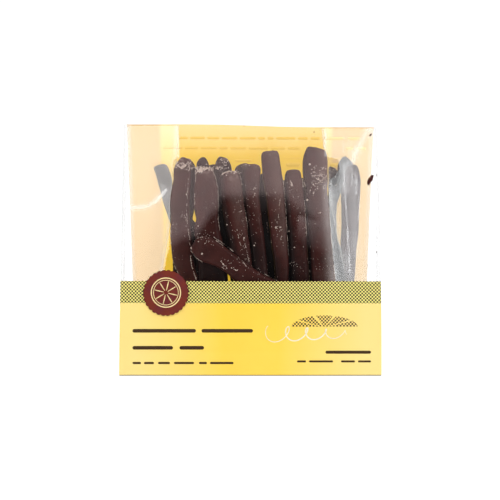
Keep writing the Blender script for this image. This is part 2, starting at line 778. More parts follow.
# Soft creases of the front film, beyond which it turns to the sides: row and column in the picture
LEFT_CREASE = (
    (120, 179), (157, 179), (160, 173.5), (180, 172.5), (200, 170), (222, 170), (249, 169), (256, 167),
    (267, 164.8), (285, 162),
)
RIGHT_CREASE = (
    (120, 324.6), (156, 324.6), (159, 338), (170, 340), (181, 330), (200, 329), (225, 330.5), (250, 332.5),
    (285, 336),
)
LEFT_TURN = 0.11
RIGHT_TURN = 0.1
CREASE_WIDTH = 0.8

# Milky lines where the film is pinched: places in the picture, width and strength
MILKY_LINES = (
    (((178.6, 136), (178.4, 158)), 1.3, 0.32), (((324.8, 134), (324.8, 148)), 1.3, 0.3),
    (((129, 207.6), (140, 207.4), (148, 206), (154, 202), (159, 197.5)), 4.6, 0.3),
    (((154, 203), (159, 198), (163, 193.5), (166, 190)), 3.6, 0.42),
    (((133, 210), (142, 209.5), (150, 207)), 1.4, 0.16),
    (((369.5, 127), (362, 141), (355.5, 153), (353, 161)), 6.2, 0.3), (((367, 131), (356, 152)), 1.6, 0.14),
    (((345.5, 168), (345.5, 190)), 9.0, 0.16), (((354.5, 178), (355, 255)), 8.0, 0.1),
    (((318, 158), (318, 205)), 18.0, 0.025), (((327.5, 186), (328, 205), (329.5, 225)), 10.5, 0.17),
    (((329.5, 225), (331.5, 250), (334, 281)), 10.5, 0.12),
    (((163, 186), (164.5, 192), (166.5, 200)), 5.0, 0.1), (((346, 257), (352, 283)), 13.0, 0.11),
    (((124.4, 124), (123, 284)), 7.5, 0.42), (((379, 124), (377.5, 284)), 7.5, 0.42),
    (((343.4, 164), (343.9, 176), (345.2, 195), (346.8, 218), (348.4, 245), (350, 274)), 0.5, 0.42),
    (((355.4, 172), (356, 183), (356.4, 194)), 0.5, 0.4),
    (((358.8, 197), (359, 210), (358.6, 220)), 0.6, 0.4),
    (((329.4, 190), (330.8, 215), (332.6, 240), (335, 262), (337, 281)), 0.6, 0.2),
    (((346, 166), (344.6, 186), (345, 200)), 0.5, 0.2),
    (((351.6, 168), (352.6, 178), (350.8, 186)), 0.6, 0.3), (((346.6, 161), (349.4, 169)), 0.6, 0.25),
    (((343.4, 136), (343.4, 152)), 0.8, 0.12), (((348.6, 138), (348.6, 154)), 0.8, 0.12),
)

# Places where the front film lies close on what is behind it, and reflects less
CLEAR_PATCHES = (
    (((158.5, 166), (161, 173), (164, 180)), 11.0, 0.26), (((333, 167), (336, 174), (334, 183)), 9.0, 0.62),
    (((124.5, 122), (123.5, 283)), 7.0, 1.0), (((379.5, 122), (377.5, 283)), 7.5, 1.0),
)


def line_share(u, v, line, width):
    """1 on a broken line in the picture, falling softly to 0 beside it and at its ends."""
    best = np.full(len(u), 99.0)
    for start, end in zip(line, line[1:]):
        step = (end[0] - start[0], end[1] - start[1])
        part = ((u - start[0]) * step[0] + (v - start[1]) * step[1]) / (step[0] ** 2 + step[1] ** 2)
        part = np.clip(part, 0.0, 1.0)
        best = np.minimum(best, np.hypot(u - start[0] - part * step[0], v - start[1] - part * step[1]))
    return np.exp(-((2.0 * best / (width + 0.6)) ** 2))


def finish_film(mesh):
    """Turn the front film's shading beyond its soft creases, and mark where it is milky or lies close."""
    points, normals = read_points(mesh)
    front = read_values(mesh, "front")
    u, v, _ = picture_places(points)
    left = fade(np.interp(v, *zip(*LEFT_CREASE)) - u, -CREASE_WIDTH, CREASE_WIDTH)
    right = fade(u - np.interp(v, *zip(*RIGHT_CREASE)), -CREASE_WIDTH, CREASE_WIDTH)
    normals[:, 0] += front * (RIGHT_TURN * right - LEFT_TURN * left)
    normals /= np.linalg.norm(normals, axis=1)[:, None]
    for name, lines in (("creased", MILKY_LINES), ("pressed", CLEAR_PATCHES)):
        values = read_values(mesh, name)
        for line, width, strength in lines:
            values = np.maximum(values, front * strength * line_share(u, v, line, width))
        store(mesh, name, values)
    mesh.attributes.remove(mesh.attributes["front"])
    mesh.normals_split_custom_set_from_vertices([tuple(normal) for normal in normals])


def bag_mesh(settings):
    """The closed bag as one thin sheet of film, with marks on its points for the material."""
    bm = bmesh.new()
    marks = [bm.verts.layers.float.new(name) for name in ("creased", "front", "crumpled", "pressed")]
    sheets = []
    for height, shrink in film_levels():
        at_top = height >= PACK_HEIGHT - FILM_TOP_MARGIN - 1e-6
        sheet = []
        for point, kind in film_ring(height, shrink):
            fall = 1.0 if at_top else max(0.0, 1.0 - (PACK_HEIGHT - point.z) / FALL_REACH)
            point.z -= top_fall(point.x) * fall
            sideways = 0.3 if kind == "gusset" else 0.0
            away = Vector((sideways, math.copysign(1.0, point.y), 0.0)).normalized()
            vert = bm.verts.new(point + away * settings.ripple * ripple(point, kind))
            panel = kind == "panel"
            pressed = GUSSET_PRESS if kind == "gusset" else float(panel and point.y > 0.0)
            in_front = float(panel and point.y < 0.0)
            values = (settings.haze * HAZE_SHARES[kind], in_front, float(not panel), pressed)
            for mark, value in zip(marks, values):
                vert[mark] = value
            sheet.append(vert)
        sheets.append(sheet)
    count = len(sheets[0])
    for low, high in zip(sheets, sheets[1:]):
        for index in range(count):
            after = (index + 1) % count
            bm.faces.new((low[index], low[after], high[after], high[index]))
    close_end(bm, list(reversed(sheets[0])))
    close_end(bm, sheets[-1])
    mesh = mesh_of(bm, "clear_bag")
    finish_film(mesh)
    return mesh


def close_end(bm, ring):
    """Close the base or the top with a sheet across."""
    face = bm.faces.new(ring)
    bmesh.ops.triangulate(bm, faces=[face])


# Strips

def soften(points, edges, rounds):
    """Round a mesh's edges off."""
    return np.stack([average(points[:, axis], edges, rounds) for axis in range(3)], axis=1)


def coat_strip(mesh, name, seed, settings):
    """Give a strip its outline and the relief of a poured coat, and mark its tone and its rubbed edges."""
    points, _ = read_points(mesh)
    edges = read_edges(mesh)
    points = soften(points, edges, SOFTENING)
    if name in STRIP_ROWS:
        points = fit_strip(points, STRIP_ROWS[name])
    if name == "peel_slanting":
        points = fit_strip(points, SLANT_COLUMNS, columns=True)
    write_points(mesh, points)
    points, normals = read_points(mesh)
    draw = random.Random(seed)
    shift = Vector([draw.uniform(-40.0, 40.0) for _ in range(3)])
    lumps, pits, patches = coat_noise(points, shift)
    crest = average(crest_of(points, normals, edges), edges, 1)
    ridge = fade(crest, *RIDGE)
    lip = average(ridge, edges, 2)
    top = points[:, 2].max()
    length = top - points[:, 2].min()
    headward = fade(points[:, 2], top - 0.07 * length, top - 0.01 * length)
    crumbly = headward if name in CRUMBLY_HEADS else 0.25 * headward
    patchy = fade(patches, 0.05, 0.4)
    rough = 0.25 + 0.9 * patchy + 2.2 * crumbly
    move = settings.lump * lumps + settings.pit * pits * rough
    move += settings.rim * (lip * (0.5 + np.clip(patches + 0.5, 0.0, 1.0)) - 0.25)
    points = points + normals * (move - COAT_INSET)[:, None]
    write_points(mesh, points)
    rubbed = 1.1 * ridge * fade(patches, -0.35, 0.15)
    rubbed += 0.1 * patchy * fade(pits, 0.2, 0.9)
    rubbed += 0.6 * crumbly * fade(pits, 0.0, 0.4)
    shade = draw.uniform(*TONE_RANGE) * strip_shade(name, points)
    store(mesh, "tone", np.clip(shade, 0.0, 1.0))
    store(mesh, "rubbed", np.clip(rubbed + PALER * np.maximum(shade - 1.0, 0.0), 0.0, 1.0))


def coat_noise(points, shift):
    """The coat's broad lumps, its small pits and the patches between, for each point."""
    spots = [Vector(point) + shift for point in points]
    broad, small, pits, patches = [
        np.array([noise.noise(spot * scale) for spot in spots])
        for scale in (BROAD_LUMPS, SMALL_LUMPS, PITS, PATCHES)]
    return broad + 0.5 * small, pits, patches


def strip_shade(name, points):
    """How light a strip's coat is at each point, from the point's place down and across the strip."""
    u, v, _ = picture_places(points)
    shade = np.interp(v, *zip(*SHADE_ROWS.get(name, SHADE)))
    if "back" in name:
        shade *= BACK_SHADE
    if name in SIDE_SHADE:
        kept, low, high = edges_now(v, u)
        low = np.interp(v, kept, low)
        share = (u - low) / np.maximum(np.interp(v, kept, high) - low, 1.0)
        sides = SIDE_SHADE[name]
        shade *= np.interp(share, np.linspace(0.0, 1.0, len(sides)), sides)
    return shade


def surface_tree(pieces):
    """A tree of the pieces' surfaces, to find where grains and print lie on them."""
    verts = []
    faces = []
    for piece in pieces:
        start = len(verts)
        verts.extend(tuple(vert.co) for vert in piece.data.vertices)
        faces.extend([start + index for index in face.vertices] for face in piece.data.polygons)
    return BVHTree.FromPolygons(verts, faces)


def add_grain(bm, place, up, size, draw):
    """One small crystal, half sunk in the surface below it."""
    turn = up.to_track_quat("Z", "Y").to_matrix().to_4x4()
    spin = Matrix.Rotation(draw.uniform(0.0, math.tau), 4, "Z")
    spin = spin @ Matrix.Rotation(draw.uniform(-0.6, 0.6), 4, "X")
    stretch = Matrix.Diagonal((size * draw.uniform(0.7, 1.5), size * draw.uniform(0.7, 1.2), size * 0.8, 1.0))
    matrix = Matrix.Translation(place + up * 0.15 * size) @ turn @ spin @ stretch
    made = bmesh.ops.create_icosphere(bm, subdivisions=1, radius=0.5, matrix=matrix)
    for vert in made["verts"]:
        vert.co += 0.12 * size * Vector([draw.uniform(-1.0, 1.0) for _ in range(3)])


def drop_grain(bm, tree, u, v, size, draw):
    """One grain on the strip that shows at this place in the picture, if one shows and not edge on."""
    place, normal, _, _ = tree.ray_cast(*photo_ray(u, v))
    if place is not None and abs(normal.y) > 0.05:
        add_grain(bm, place, normal, size, draw)


def places_along(line, step):
    """Places along a broken line, one step apart."""
    for start, end in zip(line, line[1:]):
        length = math.dist(start, end)
        for index in range(max(1, int(length / step))):
            share = index * step / length
            yield start[0] + (end[0] - start[0]) * share, start[1] + (end[1] - start[1]) * share


def edges_now(along, across):
    """A strip's two edges as it stands: steps along it, and the least and greatest place across at each."""
    found = []
    for step in np.arange(along.min(), along.max() + 1.0, 1.0):
        near = across[np.abs(along - step) < 1.0]
        if len(near):
            found.append((step, near.min(), near.max()))
    return np.array(found).T


def edge_goal(rows, side, kept):
    """The edge that a strip gets; where the picture hides it, it keeps the last place that shows."""
    known = [(row[0], row[side]) for row in rows if row[side] is not None]
    return eased(np.interp(kept, *zip(*known)))


def eased(line):
    """Take the kinks out of an edge, but leave its head end as it is."""
    smooth = np.convolve(np.pad(line, 2, mode="edge"), np.full(5, 0.2), mode="valid")
    share = np.clip(np.arange(len(line)) / 6.0, 0.0, 1.0)
    return line * (1.0 - share) + smooth * share


def fit_strip(points, rows, columns=False):
    """Bend a strip's outline to the given edges, and round its head."""
    u, v, depth = picture_places(points)
    along, across = (u, v) if columns else (v, u)
    if not columns:
        rise = rows[0][0] - v.min()
        share = np.clip(1.0 - (v - v.min()) / LIFTED_LENGTH, 0.0, 1.0) ** 2
        points[:, 2] -= rise * share * depth / FOCAL_PIXELS
        along = v + rise * share
    kept, low, high = edges_now(along, across)
    low = np.interp(along, kept, low)
    high = np.interp(along, kept, high)
    share = (across - low) / np.maximum(high - low, 1.0)
    low_goal, high_goal = [np.interp(along, kept, edge_goal(rows, side, kept)) for side in (1, 2)]
    move = (low_goal * (1.0 - share) + high_goal * share - across) * depth / FOCAL_PIXELS
    if columns:
        points[:, 2] -= move
    else:
        points[:, 0] += move
    head = np.clip((along - along.min()) / HEAD_LENGTH, 0.0, 1.0)
    dome = np.sqrt(1.0 - (1.0 - head) ** 2)
    middle = points[head < 1.0, 1].mean()
    points[:, 1] += (middle - points[:, 1]) * (1.0 - dome) * 0.5
    return points


# Strips whose head end is cut open and sugary
CRUMBLY_HEADS = ("peel_front_1", "peel_front_2", "peel_front_3", "peel_back_5")

# How dark a strip's coat gets down the pack: row in the picture and share of the coat's colour
SHADE = ((235, 1.0), (281, 0.75))
SHADE_ROWS = {
    "peel_front_1": ((235, 1.15), (281, 1.1)),
    "peel_front_2": ((250, 1.1), (262, 0.35)),
    "peel_front_3": ((205, 1.45), (222, 1.25), (232, 0.95), (240, 0.7), (281, 0.6)),
    "peel_front_4": ((205, 1.35), (223, 1.0), (235, 0.55), (247, 0.36), (281, 0.34)),
    "peel_front_5": ((205, 1.3), (235, 1.2), (247, 0.85), (259, 0.45), (281, 0.45)),
    "peel_front_6": ((205, 1.25), (216, 1.05), (226, 0.72), (245, 0.48), (281, 0.42)),
    "peel_front_7": ((240, 1.0), (256, 1.3), (266, 1.6), (273, 2.3), (281, 2.6)),
    "peel_slanting": ((240, 1.2), (281, 1.05)),
}

# The same across a strip, from its left edge to its right one; above 1 the coat gets dusty
SIDE_SHADE = {
    "peel_front_1": (2.3, 1.9, 1.5, 1.15, 1.1, 1.1, 1.2),
    "peel_front_3": (0.2, 0.35, 0.9, 1.9, 2.3, 2.2, 1.6),
    "peel_front_4": (0.3, 0.45, 0.75, 1.1, 1.5, 1.6, 1.5),
    "peel_front_5": (0.5, 0.9, 1.6, 2.3, 3.0, 3.0, 2.2),
    "peel_front_6": (0.2, 0.42, 1.05, 1.45, 1.4, 1.4, 1.3),
    "peel_front_7": (0.4, 0.6, 0.9, 1.3, 2.6, 4.5, 6.0),
}

# Share of dust for a tone of 2
PALER = 0.085

# Length of a strip's round head, and of the part that moves to bring the head to its row, in pixels
HEAD_LENGTH = 7.0
LIFTED_LENGTH = 30.0

# The strips' outlines: row, left edge and right edge in the picture; None where another strip hides the edge
STRIP_ROWS = {
    "peel_front_1": (
        (157, 181, 189), (158.5, 179, 191.5), (161, 177, 192.5), (165, 174.5, 193), (170, 173.2, 192.5),
        (180, 173, 192), (190, 171, 191), (200, 169.2, 190.5), (210, 169.8, 190), (220, 170.5, 190),
        (230, 170, 191.5), (240, 170.3, 193), (250, 171, 193.2), (260, 172, 194), (270, 176, 196),
        (280, 181, 199.5)),
    "peel_front_2": (
        (166.5, 197, 209), (168, 195.5, 212), (171, 195, 214), (175, 195, 215.8), (180, 194.8, 216.8),
        (185, 194.5, 218.2), (190, 194, 219.2), (200, 193.4, 219.4), (206, 193.4, 219.3), (211, 194.5, 219.1),
        (215, 195.4, 219.1), (219, 196.6, 219.3), (221.5, 196, 219.5), (224, 194.4, 219.8), (232, 193.5, 221),
        (240, 195, 223), (250, 197, 225), (270, 198, 227.2), (280, 198, 228.6)),
    "peel_front_3": (
        (170.5, 227, 237), (172, 222.5, 239), (176, 220, 240.5), (180, 219.5, 241.3), (190, 220, 243),
        (200, 221, 244.2), (210, 222.5, 245.4), (220, 224, 246.9), (230, 225.5, 248.1), (240, 227.5, 249.6),
        (250, 229, 250.6), (260, 230, 251.6), (272, 231.4, 252.6), (280, 232.4, 253.5)),
    "peel_front_4": (
        (163.5, 247, 256), (165, 243, 260), (168, 242, 261.3), (175, 242, 261), (185, 243, 260),
        (195, 243.5, 259.5), (205, 244.5, 260.5), (220, 246.5, 262.5), (240, 249.5, 265), (260, 252, 267.5),
        (280, 254, 269)),
    "peel_front_5": (
        (149.6, 265, 275.5), (150.5, 262.5, 278), (153, 261, 279.3), (156, 260.6, 280), (165, 261, 281),
        (175, 262, 282.4), (185, 263.8, 284.3), (200, 266.2, 285.5), (220, 268.2, 286.7), (240, 270.5, 287.9),
        (255, 272.5, 289), (280, 275, 289.5)),
    "peel_front_6": (
        (169, 289, 297), (170, 286.5, 300), (172.5, 285, 301.5), (180, 284.4, 302.4), (190, 285, 303.6),
        (200, 286, 304.4), (215, 287.2, 305.8), (230, 288, 306.9), (250, 289.5, 307.6), (280, 291, 309.5)),
    "peel_front_7": (
        (146, 307.5, 314.5), (147, 306.2, 322), (148.5, 305.4, 324.2), (150, 304.8, 325.6),
        (154, 303.4, 327.4), (160, 302.4, 327.8), (170, 302.3, 327.8), (180, 303.5, 328.6), (190, 304.5, 328),
        (200, 305.2, 328.7), (220, 307, 330.3), (240, 309, 332), (260, 310.5, 333.4), (270, 311, 334.7),
        (280, 311.5, 336.2)),
    "peel_front_8": (
        (164.5, 349, 356), (166, 347, 358.5), (170, 345, 360), (178, 343.5, 360.8), (190, 341.5, 360.5),
        (200, 340.3, 360), (210, 340.9, 359.5), (225, 341.6, 358.8), (240, 340.8, 358), (246, 340, 357.2),
        (251, 341.2, 356.6), (262, 342.6, 356), (280, 345.4, 354.5)),
    "peel_back_1": (
        (163.8, 158, 166), (165, 153.5, 167.5), (168, 153, 168.8), (172, 154.5, 170.5), (181, 157.4, 173),
        (190, 159.6, None), (200, 161.8, None), (210, 165, None), (220, 168.6, None), (230, 173, None),
        (240, 177, None), (260, 184, None), (280, 191, None)),
    "peel_back_2": (
        (159, 184, 190), (161, 181, 193), (164, 179, 195), (170, 178, 197.5), (204, 177, 197.5),
        (207, 177, 195), (212, 177, 194.6), (215, 177, 194), (219, 177, 193), (221, 177, 194),
        (223, 177, 198), (280, 178, 198)),
    "peel_back_3": (
        (156.8, 201, 205), (158.5, 199, 207), (161, 196.8, 208.3), (164, 195.8, 209.5), (170, 196, 211)),
    "peel_back_5": (
        (156.3, 219.5, 223.5), (157.5, 217.8, 226), (160, 216, 229), (163, 215.3, 230.7), (167, 215, 231.7),
        (172, 215, 232.3), (190, 215.5, 233.5), (210, 215.5, 236), (240, 213, 240), (266, 213, 240),
        (272, 228.8, 242), (280, 229.9, 243)),
    "peel_back_6": (
        (162.8, 242, 247), (164, 238.5, 250), (166, 236, 251), (169, 234.2, 251), (175, 234, 250.5),
        (200, 235, 253), (240, 237, 258), (280, 238, 260)),
    "peel_back_7": (
        (173, 261, 268), (176, 258, 272), (200, 256, 275), (240, 255, 277), (280, 255, 277)),
    "peel_back_8": (
        (179.4, 283, 289), (183, 280, 292), (200, 276, 296), (240, 275, 298), (280, 275, 298)),
    "peel_back_9": (
        (177.2, 301, 310), (181, 298, 313), (200, 296, 316), (240, 296, 318), (280, 296, 318)),
    "peel_back_10": (
        (166.3, 329, 334.5), (168, 328, 336), (173, None, 339), (180, None, 341), (190, None, 341),
        (197, None, 340), (200, None, 338.6), (205, None, 337), (215, None, 336.5), (230, None, 337),
        (240, None, 338.2), (246, None, 340.6), (252, None, 343), (280, None, 348)),
    "peel_back_11": (
        (155.8, 343, 345.5), (157.5, 341.5, 348), (160, 340, 351), (164, 337.5, 353.5), (170, 337, 354),
        (190, 338.5, 355), (198, 341, 355), (225, 342.8, 356), (245, 341.5, 356), (260, 342, 355)),
}

# The slanting strip's outline: column, upper edge and lower edge in the picture
SLANT_COLUMNS = (
    (190.3, 248, 249.5), (191, 244, 252), (193, 241, 255), (196, 238, 258.5), (200, 236.2, 261),
    (204, 235.5, 262.8), (209, 236.2, 264.5), (214, 238.2, 266.5), (219, 241.4, 269.2), (224, 244.8, 272.6),
    (229, 248.5, 276.8), (234, 252.3, 282), (241, 258.5, 288), (250, 264.5, 294), (258, 269.8, 300),
    (266, 275, None), (278, 281.5, None),
)

# Larger grains that stand out on the front row: place in the picture, size in millimetres
LARGE_GRAINS = (
    (309.6, 164.4, 0.95), (307.3, 200.0, 1.0), (270.0, 155.0, 0.6), (298.4, 220.5, 0.6), (320.3, 212.7, 0.6),
    (310.2, 190.3, 0.6), (313.3, 193.2, 0.7), (302.7, 186.3, 0.8), (290.6, 184.5, 0.6), (280.0, 227.4, 0.7),
    (186.6, 194.5, 0.7), (227.0, 224.7, 0.8), (241.4, 211.0, 0.8), (240.0, 211.6, 0.5), (173.0, 224.7, 0.6),
    (226.5, 175.3, 0.6), (275.8, 227.2, 0.9), (267.7, 231.9, 0.8), (254.2, 245.4, 0.6), (290.0, 263.6, 1.0),
    (202.0, 253.8, 1.0), (194.7, 240.7, 0.7), (294.3, 247.4, 0.6), (198.1, 271.8, 0.5), (244.0, 238.0, 0.8),
    (269.7, 262.3, 0.7), (289.3, 231.2, 0.6),
)

# Thick patches of grains: place, reach across and down, number, size in millimetres
GRAIN_CLUSTERS = (
    (184, 165, 9, 4, 44, 0.5), (203, 168.3, 18, 2.2, 130, 0.5), (199, 170.5, 8, 3, 30, 0.5),
    (222, 163, 8, 7, 30, 0.48), (230, 171.5, 14, 2.5, 26, 0.4), (243, 165, 8, 2, 8, 0.35),
    (321, 178, 11, 11, 130, 0.4), (317, 172, 10, 6, 20, 0.4), (327, 187, 6, 8, 14, 0.34),
    (312, 192, 6, 6, 8, 0.36), (255, 192, 4, 6, 12, 0.36), (251, 212, 10, 14, 20, 0.26),
    (239, 202, 8, 10, 14, 0.26), (238, 232, 8, 10, 16, 0.26), (245, 250, 8, 12, 12, 0.26),
    (270, 195, 10, 8, 14, 0.26), (278, 230, 8, 10, 16, 0.36), (206, 240, 14, 8, 20, 0.36),
    (236, 262, 16, 8, 26, 0.28), (262, 276, 14, 6, 16, 0.3), (174, 226, 4, 12, 16, 0.32),
    (183, 216, 4, 8, 12, 0.32), (199, 232, 14, 6, 16, 0.36), (290, 186, 6, 10, 12, 0.36),
    (322, 263, 16, 18, 26, 0.28), (297, 268, 10, 14, 14, 0.28), (353, 178, 10, 14, 16, 0.34),
    (345, 250, 12, 20, 12, 0.34), (310, 232, 30, 60, 30, 0.3), (265, 235, 40, 60, 40, 0.3),
    (205, 200, 40, 50, 30, 0.3), (255, 200, 60, 50, 40, 0.26),
)

# Distance of the grains in a row, and how far they lie beside it
GRAIN_STEP = 0.55
GRAIN_SCATTER = 0.2

# Fine rows of grains along cracks and edges: a broken line, share of it that is left out, size in millimetres
GRAIN_LINES = (
    (((178, 161), (176.3, 165), (180, 167.5), (184.5, 167), (187, 163)), 0.0, 0.52),
    (((181, 159.6), (185, 160.5), (189, 162.5)), 0.3, 0.34),
    (((188.6, 170), (188.4, 180), (187.2, 195), (186.6, 212), (187.6, 226), (189.6, 238), (190, 246)),
     0.3, 0.26),
    (((190.4, 256), (191.5, 265), (194.6, 275), (196.6, 280)), 0.0, 0.34),
    (((171, 256), (174, 265), (179, 275)), 0.3, 0.32),
    (((170.8, 226), (170.8, 240), (171.8, 250)), 0.3, 0.34),
    (((196, 172), (195.4, 182), (194.6, 198), (195, 205)), 0.3, 0.3),
    (((212, 170), (215.6, 178), (217.6, 188), (218.4, 205), (218.2, 222), (220, 231)), 0.1, 0.3),
    (((195, 168), (199, 170), (204, 169.4), (209, 168)), 0.0, 0.54), (((197, 171.5), (203, 172)), 0.1, 0.48),
    (((217.5, 169.5), (221, 166), (224.5, 163.5)), 0.0, 0.52), (((219, 161), (222, 158.4)), 0.2, 0.42),
    (((222, 175), (226, 171.8), (233, 170.8), (238, 173)), 0.1, 0.48),
    (((239, 173), (241, 178), (242, 186)), 0.1, 0.36),
    (((244.4, 205), (246.4, 220), (248.4, 235)), 0.2, 0.32),
    (((237, 229), (239, 240), (242, 249)), 0.5, 0.24), (((243, 218), (244.6, 229)), 0.5, 0.24),
    (((213.5, 237), (219, 240.8), (226, 245.5), (234, 252)), 0.0, 0.38),
    (((216, 240.8), (221, 244.3), (225, 246.8)), 0.1, 0.34),
    (((191.2, 247), (191.4, 251), (193.4, 255), (197.4, 258.8), (203, 261.8)), 0.0, 0.36),
    (((193, 241), (197, 238.4), (202, 237)), 0.3, 0.3), (((221, 261), (224, 265.5), (227.5, 269)), 0.0, 0.4),
    (((222, 267), (224.5, 269.6)), 0.0, 0.36), (((231, 267.8), (234, 269), (237.5, 270.8)), 0.0, 0.44),
    (((265, 274.5), (270, 277), (277, 281)), 0.0, 0.36), (((238, 257), (243, 262), (247, 268)), 0.5, 0.26),
    (((243, 236), (247, 252), (250, 266)), 0.5, 0.26),
    (((282.3, 176), (283.8, 186), (285, 200), (286.2, 218), (287.4, 238), (288.6, 256)), 0.05, 0.34),
    (((302, 177.5), (303.2, 187.5)), 0.0, 0.48), (((304.2, 200), (305.6, 218), (306.5, 236)), 0.05, 0.32),
    (((308.6, 258), (309.5, 270), (309.8, 279)), 0.3, 0.32),
    (((327.4, 186), (328.8, 205), (330.6, 232), (332.4, 252), (335.2, 279)), 0.0, 0.36),
    (((280.2, 199), (279, 208), (278.2, 218)), 0.2, 0.26), (((267, 223), (267.6, 231)), 0.0, 0.42),
    (((290.4, 181), (292, 184), (290.6, 187)), 0.0, 0.36), (((304, 182), (306, 187)), 0.2, 0.3),
)

# Crumbs that cling to the film: place in the picture, width and height in millimetres, lean in degrees
CRUMBS = (
    (370.6, 179.4, 2.0, 5.2, 24.0), (370.6, 134.8, 0.7, 1.5, 40.0), (314.0, 132.0, 0.5, 0.6, 0.0),
    (376.6, 175.0, 0.4, 0.5, 0.0), (377.2, 238.0, 0.4, 0.4, 0.0), (376.6, 252.0, 0.4, 0.6, 0.0),
    (368.0, 265.0, 0.4, 0.4, 0.0), (244.0, 126.0, 0.4, 0.4, 0.0),
)


# Print

# Ink: half its thickness, and how far along its round end a bar gets each of its widths
INK_HEIGHT = 0.04 * MM
BAR_END_SHARES = (0.02, 0.15, 0.35, 0.6, 1.0)

# The pale wave: its start in the picture, length, turns and steps
WAVE_START = (268, 334)
WAVE_LENGTH = 82
WAVE_TURNS = 4.25
WAVE_STEPS = 170

# The seal's print: centre in the picture, radius and width of its rings, reach and width of its spokes
SEAL_PLACE = (165.9, 292.6)
SEAL_RINGS = ((14.6, 1.1), (12.4, 0.6))
RING_STEPS = 72
SPOKES = 8
SPOKE_REACHES = (2.2, 5.5, 8.5, 11.6)
SPOKE_WIDTHS = (0.5, 0.9, 1.0, 0.6)

# Bars in place of print on the front: left, right, row and height in the picture
FRONT_BARS = (
    (132.5, 196, 330.8, 3.6), (201.5, 253, 330.8, 3.6), (132.5, 173, 347.8, 3.6), (179.5, 204, 347.8, 3.6),
    (132.5, 141, 363, 2.2), (144, 154, 363, 2.2), (158, 170, 363, 2.2), (174, 194, 363, 2.2),
    (199, 207, 363, 2.2), (210, 233.5, 363, 2.2), (325.5, 371, 352.2, 3.0), (297, 306, 361.4, 2.0),
    (309, 333, 361.4, 2.0), (341, 355, 361.4, 2.0), (358, 371, 361.4, 2.0),
)

# Length and gap of words, and how much their lines slant
WORD_LENGTHS = (6.0, 22.0)
WORD_GAP = 2.4
LINE_SLANT = 0.004

# Bars and broken lines that show faintly through the back panel from its outer print
SHOWING_BARS = (
    (286, 300, 164.6, 4.2), (330, 340, 165.0, 4.0), (283, 301, 158.2, 0.7), (327, 345, 158.6, 0.7),
)
SHOWING_LINES = (
    (178, 366, 138.2, 2.6), (163, 300, 148.2, 2.6), (235, 256, 160.8, 2.6), (346, 366, 148.2, 2.6),
)


def ribbon(bm, tree, path, widths):
    """Lay a flat line of ink on the surface that shows at a path of places in the picture."""
    rings = []
    for index, (u, v) in enumerate(path):
        before = path[max(index - 1, 0)]
        after = path[min(index + 1, len(path) - 1)]
        along = Vector((after[0] - before[0], after[1] - before[1])).normalized()
        half = 0.5 * widths[index]
        ring = []
        for side in (1, -1):
            start, heading = photo_ray(u - side * half * along.y, v + side * half * along.x)
            place, normal, _, _ = tree.ray_cast(start, heading)
            if place is None:
                raise RuntimeError(f"Nothing to print on at {u}, {v}")
            ring += [bm.verts.new(place + normal * INK_HEIGHT), bm.verts.new(place - normal * INK_HEIGHT)]
        rings.append((ring[0], ring[1], ring[3], ring[2]))
    for first, second in zip(rings, rings[1:]):
        for index in range(4):
            after = (index + 1) % 4
            bm.faces.new((first[index], first[after], second[after], second[index]))
    if path[0] != path[-1]:
        bm.faces.new(tuple(reversed(rings[0])))
        bm.faces.new(rings[-1])


def bar(bm, tree, left, right, row, height):
    """A straight bar with round ends."""
    radius = 0.5 * height
    ends = [(radius * share, height * math.sqrt(1.0 - (1.0 - share) ** 2)) for share in BAR_END_SHARES]
    steps = max(2, int((right - left) / 3.0))
    inner = [left + radius + (right - left - height) * step / steps for step in range(1, steps)]
    columns = [left + reach for reach, _ in ends] + inner + [right - reach for reach, _ in reversed(ends)]
    end_widths = [width for _, width in ends]
    widths = end_widths + [height] * len(inner) + end_widths[::-1]
    ribbon(bm, tree, [(column, row) for column in columns], widths)


def words(lines, draw):
    """Split slightly slanting lines into bars as long as words."""
    bars = []
    for left, right, row, height in lines:
        while left < right - 4.0:
            length = min(draw.uniform(*WORD_LENGTHS), right - left)
            bars.append((left, left + length, row + LINE_SLANT * (left - 0.5 * PHOTO_SIZE), height))
            left += length + WORD_GAP
    return tuple(bars)


# Operators

class LEMONPEEL_OT_coat_strips(bpy.types.Operator):
    """Replace each plain strip with one that has the relief of a chocolate coat"""
    bl_idname = "lemonpeel.coat_strips"
    bl_label = "Coat the strips"

    def execute(self, context):
        settings = context.scene.lemonpeel_peel
        material = coat_material(settings)
        for seed, name in enumerate(PEELS):
            mesh = remeshed(frame["nodes"][name], f"{name}_coated", settings.cell)
            coat_strip(mesh, name, seed, settings)
            mesh.shade_smooth()
            new_piece(f"{name}_coated", mesh, "dark_chocolate", material, name)
        return {"FINISHED"}


